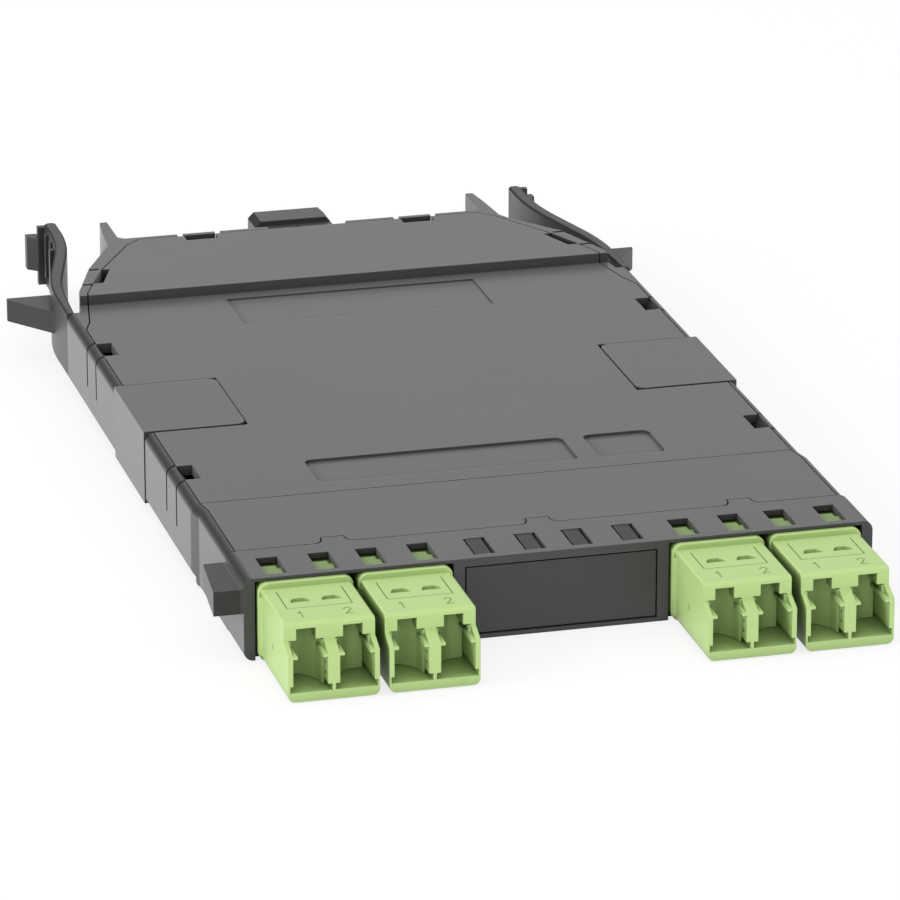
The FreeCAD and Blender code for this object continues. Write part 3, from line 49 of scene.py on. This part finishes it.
# Places on the object, in millimetres
ADAPTER_PLACES = (-35.07, -21.57, 21.57, 35.07)
WINDOW_PLACES = (-10.25, -3.25, 3.25, 10.25)
# STOP_EDGE and STOP_REAR bound the painted shade on the stop block, COLLAR_REAR the painted shade behind
# the adapters' collars.
STOP_EDGE = -43.75
STOP_REAR = 30.0
COLLAR_REAR = 1.0
PORT_PITCH = 6.25
PORT_WIDE = 4.65
LATCH_HALF = 1.28
NOSE_TOP = 10.2
LEAF_THICK = 0.3
LEAF_LOW = 1.5
LEAF_TALL = 9.1
LEAF_SHORT = 7.55
PIN_DEEP = -14.7
PIN_HEIGHTS = (("low", 3.55), ("high", 4.92))
PIN_STEPS = 14
MARK_OUT = 3.15
MARK_DEEP = -10.85
STROKE = 0.2
BLANK_HALF = 13.08
FLOOR_GAP = 0.05


# Camera

def aim_camera():
    """The photograph's camera: its distance and angles were solved from the object's parallel edges."""
    azimuth = math.radians(CAMERA_AZIMUTH)
    elevation = math.radians(CAMERA_ELEVATION)
    back = Vector((
        math.sin(azimuth) * math.cos(elevation),
        -math.cos(azimuth) * math.cos(elevation),
        math.sin(elevation),
    ))
    data = bpy.data.cameras.new("camera")
    data.sensor_width = 36.0
    data.lens = CAMERA_LENS
    data.clip_start = 0.05
    data.clip_end = 10.0
    camera = bpy.data.objects.new("camera", data)
    camera.location = CAMERA_PLACE
    camera.rotation_mode = "QUATERNION"
    camera.rotation_quaternion = (-back).to_track_quat("-Z", "Y")
    bpy.context.scene.collection.objects.link(camera)
    bpy.context.scene.camera = camera


# Node trees

class Value:
    """A number socket on which + - * and ** add Math nodes."""

    def __init__(self, finish, socket):
        self.finish = finish
        self.socket = socket

    def join(self, operation, first, second):
        return self.finish.node("Math", {"operation": operation}, {0: first, 1: second})

    def __add__(self, other):
        return self.join("ADD", self, other)

    def __radd__(self, other):
        return self.join("ADD", other, self)

    def __sub__(self, other):
        return self.join("SUBTRACT", self, other)

    def __rsub__(self, other):
        return self.join("SUBTRACT", other, self)

    def __mul__(self, other):
        return self.join("MULTIPLY", self, other)

    def __rmul__(self, other):
        return self.join("MULTIPLY", other, self)

    def __pow__(self, other):
        return self.join("POWER", self, other)


def set_stops(ramp, stops):
    """Give a ramp these stops, each a place and a grey."""
    while len(ramp.elements) < len(stops):
        ramp.elements.new(0.5)
    for element, (place, grey) in zip(ramp.elements, stops):
        element.position = place
        element.color = (grey, grey, grey, 1.0)


class Finish:
    """One material and the nodes that make it."""

    def __init__(self, name):
        self.material = bpy.data.materials.new(name)
        self.material.use_nodes = True
        self.tree = self.material.node_tree
        self.tree.nodes.clear()

    def node(self, kind, settings=None, sockets=None, out=0):
        """Add a node: its settings come first, then the values or links of its sockets."""
        made = self.tree.nodes.new(f"ShaderNode{kind}")
        for key, value in (settings or {}).items():
            if key == "stops":
                set_stops(made.color_ramp, value)
            else:
                setattr(made, key, value)
        for key, value in (sockets or {}).items():
            if isinstance(value, Value):
                self.tree.links.new(value.socket, made.inputs[key])
            else:
                made.inputs[key].default_value = value
        return Value(self, made.outputs[out]) if made.outputs else None

    def place(self):
        """Where a point lies on the piece, in metres."""
        return self.node("TexCoord", out="Object")

    def noise(self, per_metre, detail=2.0, rough=0.5):
        """Soft noise with this many lumps to a metre."""
        sockets = {"Vector": self.place(), "Scale": per_metre, "Detail": detail, "Roughness": rough}
        return self.node("TexNoise", {}, sockets)

    def mix(self, share, first, second):
        """A colour between two others."""
        return self.node("Mix", {"data_type": "RGBA"}, {0: share, 6: first, 7: second}, out=2)

    def rounded(self, radius):
        """The surface's direction with its sharp edges rounded off."""
        return self.node("Bevel", {"samples": 6}, {"Radius": radius})

    def edges(self, radius):
        """1 on sharp edges within this distance, 0 on open faces."""
        flat = self.node("NewGeometry", out="Normal")
        soft = self.rounded(radius)
        along = self.node("VectorMath", {"operation": "DOT_PRODUCT"}, {0: flat, 1: soft}, out="Value")
        return self.node("ValToRGB", {"stops": ((0.0, 0.0), (0.25, 1.0))}, {"Fac": 1 - along})

    def depth(self, reach):
        """0 on open faces, 1 deep in slots and ports whose walls lie within this distance."""
        open_share = self.node("AmbientOcclusion", {"samples": 8}, {"Distance": reach}, out="AO")
        return self.node("ValToRGB", {"stops": ((0.0, 1.0), (0.75, 0.0))}, {"Fac": open_share})

    def part(self, vector, axis):
        """One of a vector's three numbers."""
        return self.node("SeparateXYZ", {}, {"Vector": vector}, out=axis)

    def beyond(self, axis, line):
        """1 on the part of a piece that lies beyond this place on the axis, in metres."""
        return self.node("Math", {"operation": "GREATER_THAN"}, {0: self.part(self.place(), axis), 1: line})

    def turned(self):
        """1 where a rounded long edge lies halfway between the side and the top, 0 on both."""
        flat = self.node("NewGeometry", out="Normal")
        both = self.part(flat, "X") * self.part(flat, "Z")
        return 2 * self.node("Math", {"operation": "ABSOLUTE"}, {0: both})

    def surface(self, sockets, slots=None):
        """The finished surface, a Principled shader with these sockets, mixed by slots towards a near-black
        diffuse shader as painted shade.
        """
        shader = self.node("BsdfPrincipled", {}, sockets)
        if slots:
            # Painted shade: a near-black diffuse shader, mixed in by the slots share.
            painted_shade_shader = self.node("BsdfDiffuse", {}, {"Color": rgb(18, 18, 18)})
            shader = self.node("MixShader", {}, {0: slots, 1: shader, 2: painted_shade_shader})
        self.node("OutputMaterial", {}, {"Surface": shader})
        return self.material


def rgb(red, green, blue):
    """A colour written as on the screen, 0 to 255, for a shader."""
    line = []
    for part in (red, green, blue):
        share = part / 255
        line.append(share / 12.92 if share <= 0.04045 else ((share + 0.055) / 1.055) ** 2.4)
    return (*line, 1.0)


def moulded_plastic(name, dark, light, worn, shade=None, roughness=0.37, grain=0.35, edge=0.12, sheen=0.55):
    """Injection-moulded plastic: faint flow marks, a fine spark-eroded grain and paler rubbed edges.

    The adapters give a shade colour, painted shade that darkens their ports and the part behind the collar.
    The other pieces turn darker in slots, on the stop block and along rounded edges, painted shade from a
    mix with a near-black shader.
    """
    finish = Finish(name)
    clouds = finish.noise(38.0, 3.0, 0.55)
    flow = finish.noise(210.0, 2.0, 0.5)
    fine = finish.noise(5200.0, 2.0, 0.6)
    rubbed = finish.edges(edge * MM)
    colour = finish.mix(0.65 * clouds + 0.35 * flow, dark, light)
    colour = finish.mix(rubbed * (0.1 + 0.3 * flow), colour, worn)
    slots = None
    if shade:
        # Painted shade: the ports darken towards the shade colour with depth, and the part behind the
        # collar is painted darker.
        colour = finish.mix(0.9 * finish.depth(5.0 * MM), colour, shade)
        colour = finish.mix(0.65 * finish.beyond("Y", COLLAR_REAR * MM), colour, shade)
    else:
        # Painted shade: the grey pieces darken in slots and narrow gaps and on the stop block.
        stop = 1 - finish.beyond("X", STOP_EDGE * MM)
        slots = finish.depth(2.6 * MM) ** 1.4 + 0.4 * stop * (1 - finish.beyond("Y", STOP_REAR * MM))
        # Painted shade: the rounded long edges get a dark band from the same mix with the near-black
        # shader.
        slots = slots + 0.6 * finish.turned()
    rough = roughness - 0.05 + 0.1 * clouds + 0.04 * fine - 0.06 * rubbed
    normal = finish.node("Bump", {}, {
        "Strength": grain,
        "Distance": 0.012 * MM,
        "Height": fine,
        "Normal": finish.rounded(edge * MM),
    })
    return finish.surface({
        "Base Color": colour,
        "Roughness": rough,
        "IOR": 1.5,
        "Sheen Weight": sheen,
        "Sheen Roughness": 0.3,
        "Normal": normal,
    }, slots)


def ceramic(name):
    """Ground white zirconia."""
    finish = Finish(name)
    clouds = finish.noise(900.0, 2.0, 0.5)
    fine = finish.noise(9000.0, 1.0, 0.5)
    colour = finish.mix(clouds, rgb(226, 224, 216), rgb(240, 239, 233))
    normal = finish.node("Bump", {}, {"Strength": 0.15, "Distance": 0.006 * MM, "Height": fine})
    return finish.surface({
        "Base Color": colour,
        "Roughness": 0.16 + 0.08 * clouds,
        "Specular IOR Level": 0.7,
        "Normal": normal,
    })


def cable_jacket(name, dark, light):
    """Extruded jacket: fine lines along it, a soft satin and slight marks."""
    finish = Finish(name)
    clouds = finish.noise(160.0, 2.0, 0.5)
    lines = finish.noise(2600.0, 1.0, 0.4)
    colour = finish.mix(0.7 * clouds + 0.3 * lines, dark, light)
    normal = finish.node("Bump", {}, {"Strength": 0.2, "Distance": 0.01 * MM, "Height": lines})
    return finish.surface({
        "Base Color": colour,
        "Roughness": 0.38 + 0.12 * clouds,
        "Normal": normal,
    })


def dress(names, material):
    """Give these CAD objects their material."""
    for name in names:
        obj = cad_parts[name]
        obj.data.materials.clear()
        obj.data.materials.append(material)


def numbered(stem, count):
    """The names of a row of like pieces."""
    return [f"{stem}_{number}" for number in range(1, count + 1)]


def finish_pieces():
    """Every CAD object's material, and the pieces that scene.py adds."""
    grey = moulded_plastic("housing_grey", rgb(50, 50, 51), rgb(55, 55, 56), rgb(84, 84, 85))
    plate = moulded_plastic("cover_grey", rgb(52, 52, 53), rgb(57, 57, 58), rgb(88, 88, 89))
    # The adapters' shade colour is painted shade for their ports and for the part seen through the windows
    # behind the collar.
    lime = moulded_plastic("adapter_lime", rgb(166, 193, 122), rgb(171, 198, 128), rgb(196, 220, 156),
                           roughness=0.45, grain=0.2, edge=0.14, sheen=0.0, shade=rgb(56, 84, 18))
    black = moulded_plastic("inner_black", rgb(26, 26, 27), rgb(32, 32, 33), rgb(58, 58, 59))
    rear = moulded_plastic("rear_grey", rgb(46, 46, 47), rgb(51, 51, 52), rgb(80, 80, 81), sheen=0.2)
    arm = moulded_plastic("arm_grey", rgb(38, 38, 39), rgb(43, 43, 44), rgb(68, 68, 69), sheen=0.05)
    blue = moulded_plastic("plug_blue", rgb(38, 74, 132), rgb(44, 82, 142), rgb(90, 122, 170), edge=0.1)
    rubber = moulded_plastic("boot_white", rgb(206, 206, 202), rgb(216, 216, 212), rgb(226, 226, 224),
                             roughness=0.62, edge=0.1)
    dress(["base_shell", "front_frame"], grey)
    dress(["left_latch_arm", "right_latch_arm"], arm)
    dress(["top_cover", "left_edge_clip", "right_edge_clip", "blank_panel"], plate)
    dress(numbered("duplex_adapter", len(ADAPTER_PLACES)), lime)
    mark = moulded_plastic("mark_lime", rgb(122, 148, 76), rgb(126, 152, 80), rgb(146, 174, 98),
                           edge=0.04, sheen=0.0)
    pin = moulded_plastic("pin_black", rgb(14, 14, 14), rgb(18, 18, 18), rgb(30, 30, 30),
                          edge=0.04, sheen=0.0)
    fit_ports(lime, mark, pin)
    # Painted shade: the blank panel gets a darker copy of the cover's grey plastic, so that its front reads
    # darker under the front lamp.
    blank = moulded_plastic("blank_grey_painted_shade", rgb(44, 44, 44), rgb(48, 48, 47), rgb(76, 76, 77), sheen=0.3)
    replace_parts(new_piece("blank_panel_shown", build_blank, blank, 0.03), "blank_panel")
    # Painted shade: the catches in the snap windows get a darker copy of the grey plastic, standing in for
    # the shade in the windows.
    catch = moulded_plastic("catch_grey_painted_shade", rgb(34, 34, 35), rgb(38, 38, 39), rgb(50, 50, 51),
                            roughness=0.55, sheen=0.1)
    new_piece("blank_catches", build_catches, catch, 0.03)
    dress(["rear_adapter"], rear)
    dress(numbered("inner_plug", 8), blue)
    dress(numbered("boot", 8), rubber)
    dress(["fan_out_block", "inner_multi_plug"], black)
    dress(numbered("ceramic_sleeve", 8) + numbered("ferrule", 8), ceramic("zirconia_white"))
    dress(numbered("fibre_lead", 8), cable_jacket("lead_aqua", rgb(66, 168, 170), rgb(78, 180, 182)))
    dress(["trunk_cable"], cable_jacket("trunk_aqua", rgb(58, 156, 160), rgb(70, 170, 174)))


# Pieces added to the CAD objects

def smooth_path(corners, steps):
    """Points on a smooth curve through these corners."""
    path = []
    last = len(corners) - 1
    for index in range(last):
        before = corners[max(index - 1, 0)]
        here = corners[index]
        there = corners[index + 1]
        after = corners[min(index + 2, last)]
        for step in range(steps):
            t = step / steps
            point = []
            for a, b, c, d in zip(before, here, there, after):
                bend = 2 * a - 5 * b + 4 * c - d
                twist = 3 * (b - c) + d - a
                point.append(b + (t * (c - a) + t * t * bend + t ** 3 * twist) / 2)
            path.append(tuple(point))
    path.append(corners[-1])
    return path


def directions(path):
    """The way that a path runs at each of its points."""
    last = len(path) - 1
    line = []
    for index in range(len(path)):
        before = Vector(path[max(index - 1, 0)])
        after = Vector(path[min(index + 1, last)])
        line.append((after - before).normalized())
    return line


def skin(mesh, rows):
    """Faces between each row of points and the next, and one on each end."""
    for row, later in zip(rows, rows[1:]):
        for index in range(len(row)):
            after = (index + 1) % len(row)
            mesh.faces.new((row[index], row[after], later[after], later[index]))
    mesh.faces.new(rows[0])
    mesh.faces.new(rows[-1])


def add_prism(mesh, profile, start, end):
    """A bar along X with this outline seen from the side."""
    rows = []
    for x in (start, end):
        rows.append([mesh.verts.new((x, y, z)) for y, z in profile])
    skin(mesh, rows)


def new_piece(name, build, material, soft=0.0):
    """A piece of the housing: its mesh is built in millimetres and its edges may be softened."""
    mesh = bmesh.new()
    build(mesh)
    bmesh.ops.recalc_face_normals(mesh, faces=mesh.faces)
    if soft:
        sharp = [edge for edge in mesh.edges if len(edge.link_faces) == 2 and edge.calc_face_angle() > 0.6]
        bmesh.ops.bevel(mesh, geom=sharp, offset=soft, segments=2, affect="EDGES", clamp_overlap=True)
    bmesh.ops.scale(mesh, vec=(MM, MM, MM), verts=mesh.verts)
    data = bpy.data.meshes.new(name)
    mesh.to_mesh(data)
    mesh.free()
    data.materials.append(material)
    piece = bpy.data.objects.new(name, data)
    bpy.context.scene.collection.objects.link(piece)
    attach(piece, "housing")
    return piece


def leaf_top(across):
    """A shutter leaf is tall in the latch channel and lower under the shoulders."""
    return LEAF_TALL if abs(across) < LATCH_HALF else LEAF_SHORT


def build_leaf(middle, side):
    """A springy shutter leaf: it starts at the wall between two ports and curves back across its port."""
    corners = [(2.25, -13.6), (1.8, -11.7), (0.55, -10.1), (-0.6, -9.45), (-2.25, -9.3)]
    path = smooth_path([(middle - across * side, y) for across, y in corners], 6)

    def build(mesh):
        rows = []
        for (x, y), along in zip(path, directions(path)):
            out = Vector((along.y, -along.x)) * LEAF_THICK / 2
            top = leaf_top(x - middle)
            row = []
            for way, z in ((1, LEAF_LOW), (1, top), (-1, top), (-1, LEAF_LOW)):
                row.append(mesh.verts.new((x + out.x * way, y + out.y * way, z)))
            rows.append(row)
        skin(mesh, rows)

    return build


def build_bridges(place):
    """An adapter's ledges, and the narrower webs that curve up from them to its upper part."""
    ledge = [(-15.97, 6.3), (-15.97, 6.5), (-14.7, 6.6), (-13.4, 6.72), (-12.0, 6.72), (-12.0, 6.3)]
    web = [(-14.1, 6.3), (-14.1, 6.64), (-13.75, 6.76), (-13.56, 6.95), (-13.47, 7.2), (-13.46, 7.64),
           (-12.0, 7.64), (-12.0, 6.3)]

    def build(mesh):
        for start, end in ((-5.62, -4.83), (-1.42, 1.42), (4.83, 5.62)):
            add_prism(mesh, ledge, place + start, place + end)
        for start, end in ((-5.6, -5.12), (-0.86, 0.86), (5.12, 5.6)):
            add_prism(mesh, web, place + start, place + end)

    return build


def build_blank(mesh):
    """The middle bay's panel and its two flanges."""
    for low, high, front, rear in ((0.8, 10.15, 0.15, 1.75), (9.05, 10.25, 1.7, 7.5), (0.7, 1.9, 1.7, 7.5)):
        add_prism(mesh, [(front, low), (front, high), (rear, high), (rear, low)], -BLANK_HALF, BLANK_HALF)


def build_catches(mesh):
    """The panel's four catches: they stand in the snap windows, with a slot at each side."""
    ramp = [(1.24, 10.0), (1.24, 11.3), (7.28, 11.42), (7.28, 10.0)]
    for middle in WINDOW_PLACES:
        add_prism(mesh, ramp, middle - 1.2, middle + 1.02)


def build_strokes(x, y, z, shape):
    """Raised strokes of a plain numeral, each a low bar with sloping sides along its path."""
    bar = ((-STROKE, -0.04), (-STROKE * 0.6, 0.05), (STROKE * 0.6, 0.05), (STROKE, -0.04))

    def build(mesh):
        for stroke in shape:
            path = smooth_path(stroke, 4) if len(stroke) > 2 else stroke
            rows = []
            for (across, up), along in zip(path, directions(path)):
                out = Vector((along.y, -along.x))
                centre = Vector((x + across, y + up))
                row = []
                for reach, height in bar:
                    spot = centre + out * reach / 2
                    row.append(mesh.verts.new((spot.x, spot.y, z + height)))
                rows.append(row)
            skin(mesh, rows)

    return build


def build_pin(x, y, z, side):
    """The rounded end of a small pin in the wall between two ports."""
    def build(mesh):
        rings = []
        for radius, out in ((0.22, -0.05), (0.21, 0.02), (0.13, 0.05)):
            ring = []
            for step in range(PIN_STEPS):
                angle = math.tau * step / PIN_STEPS
                spot = (x - side * out, y + radius * math.cos(angle), z + radius * math.sin(angle))
                ring.append(mesh.verts.new(spot))
            rings.append(ring)
        skin(mesh, rings)

    return build


def fit_ports(lime, mark, pin):
    """Shutter leaves, pins and plain port numerals on the four adapters."""
    one = [[(-0.3, 0.55), (0.1, 1.0)], [(0.1, 1.0), (0.1, -1.0)]]
    two = [[(-0.5, 0.55), (-0.2, 0.95), (0.3, 0.9), (0.45, 0.45), (0.05, -0.25), (-0.5, -1.0)],
           [(-0.5, -1.0), (0.55, -1.0)]]
    number = 0
    for adapter, place in enumerate(ADAPTER_PLACES, 1):
        new_piece(f"jaw_bridges_{adapter}", build_bridges(place), lime, 0.08)
        for side, numeral in ((-1, one), (1, two)):
            number += 1
            middle = place + side * PORT_PITCH / 2
            new_piece(f"shutter_leaf_{number}", build_leaf(middle, side), lime)
            strokes = build_strokes(place + side * MARK_OUT, MARK_DEEP, NOSE_TOP, numeral)
            new_piece(f"port_mark_{number}", strokes, mark)
            wall = middle - side * PORT_WIDE / 2
            for end, height in PIN_HEIGHTS:
                new_piece(f"shutter_pin_{number}_{end}", build_pin(wall, PIN_DEEP, height, -side), pin)


# Studio

def floor_finish():
    """White paper: seen directly it is nearly white of itself, and it still takes the object's shadow."""
    finish = Finish("paper_floor")
    fibres = finish.noise(900.0, 2.0, 0.5)
    colour = finish.mix(fibres, (0.88, 0.88, 0.88, 1.0), (0.9, 0.9, 0.9, 1.0))
    paper = finish.node("BsdfDiffuse", {}, {"Color": colour})
    glow = finish.node("Emission", {}, {"Color": (1.0, 1.0, 1.0, 1.0), "Strength": 1.0})
    camera_ray = finish.node("LightPath", out="Is Camera Ray")
    glossy_ray = finish.node("LightPath", out="Is Glossy Ray")
    share = 0.78 * camera_ray + 0.85 * glossy_ray
    shader = finish.node("MixShader", {}, {0: share, 1: paper, 2: glow})
    finish.node("OutputMaterial", {}, {"Surface": shader})
    return finish.material


def lay_floor():
    """A wide sheet, a hair below the object, so that the two planes never lie in one."""
    mesh = bpy.data.meshes.new("floor")
    reach = 6.0
    low = -FLOOR_GAP * MM
    corners = [(-reach, -reach, low), (reach, -reach, low), (reach, reach, low), (-reach, reach, low)]
    mesh.from_pydata(corners, [], [(0, 1, 2, 3)])
    mesh.materials.append(floor_finish())
    floor = bpy.data.objects.new("floor", mesh)
    bpy.context.scene.collection.objects.link(floor)


def soft_box(name, place, target, size, power):
    """A wide area lamp that faces the target."""
    data = bpy.data.lights.new(name, "AREA")
    data.shape = "RECTANGLE"
    data.size = size
    data.size_y = size * 0.75
    data.energy = power
    lamp = bpy.data.objects.new(name, data)
    lamp.location = place
    lamp.rotation_mode = "QUATERNION"
    lamp.rotation_quaternion = (Vector(target) - Vector(place)).to_track_quat("-Z", "Y")
    bpy.context.scene.collection.objects.link(lamp)


def light_studio():
    """A sky that is dark near the horizon and white above it, and two soft boxes."""
    world = bpy.data.worlds.new("studio")
    world.use_nodes = True
    nodes = world.node_tree.nodes
    links = world.node_tree.links
    direction = nodes.new("ShaderNodeTexCoord")
    parts = nodes.new("ShaderNodeSeparateXYZ")
    ramp = nodes.new("ShaderNodeValToRGB")
    set_stops(ramp.color_ramp, ((0.0, 0.25), (0.2, 0.3), (0.29, 0.95), (1.0, 1.0)))
    links.new(direction.outputs["Generated"], parts.inputs["Vector"])
    links.new(parts.outputs["Z"], ramp.inputs["Fac"])
    links.new(ramp.outputs["Color"], nodes["Background"].inputs["Color"])
    nodes["Background"].inputs["Strength"].default_value = 1.0
    bpy.context.scene.world = world
    middle = (0.0, 0.06, 0.0)
    soft_box("left_light", (-0.95, 0.0, 0.42), middle, 0.7, 6.0)
    soft_box("front_light", (-0.25, -1.2, 0.38), middle, 0.7, 5.6)


aim_camera()
finish_pieces()
lay_floor()
light_studio()
bpy.context.scene.view_settings.view_transform = "Standard"
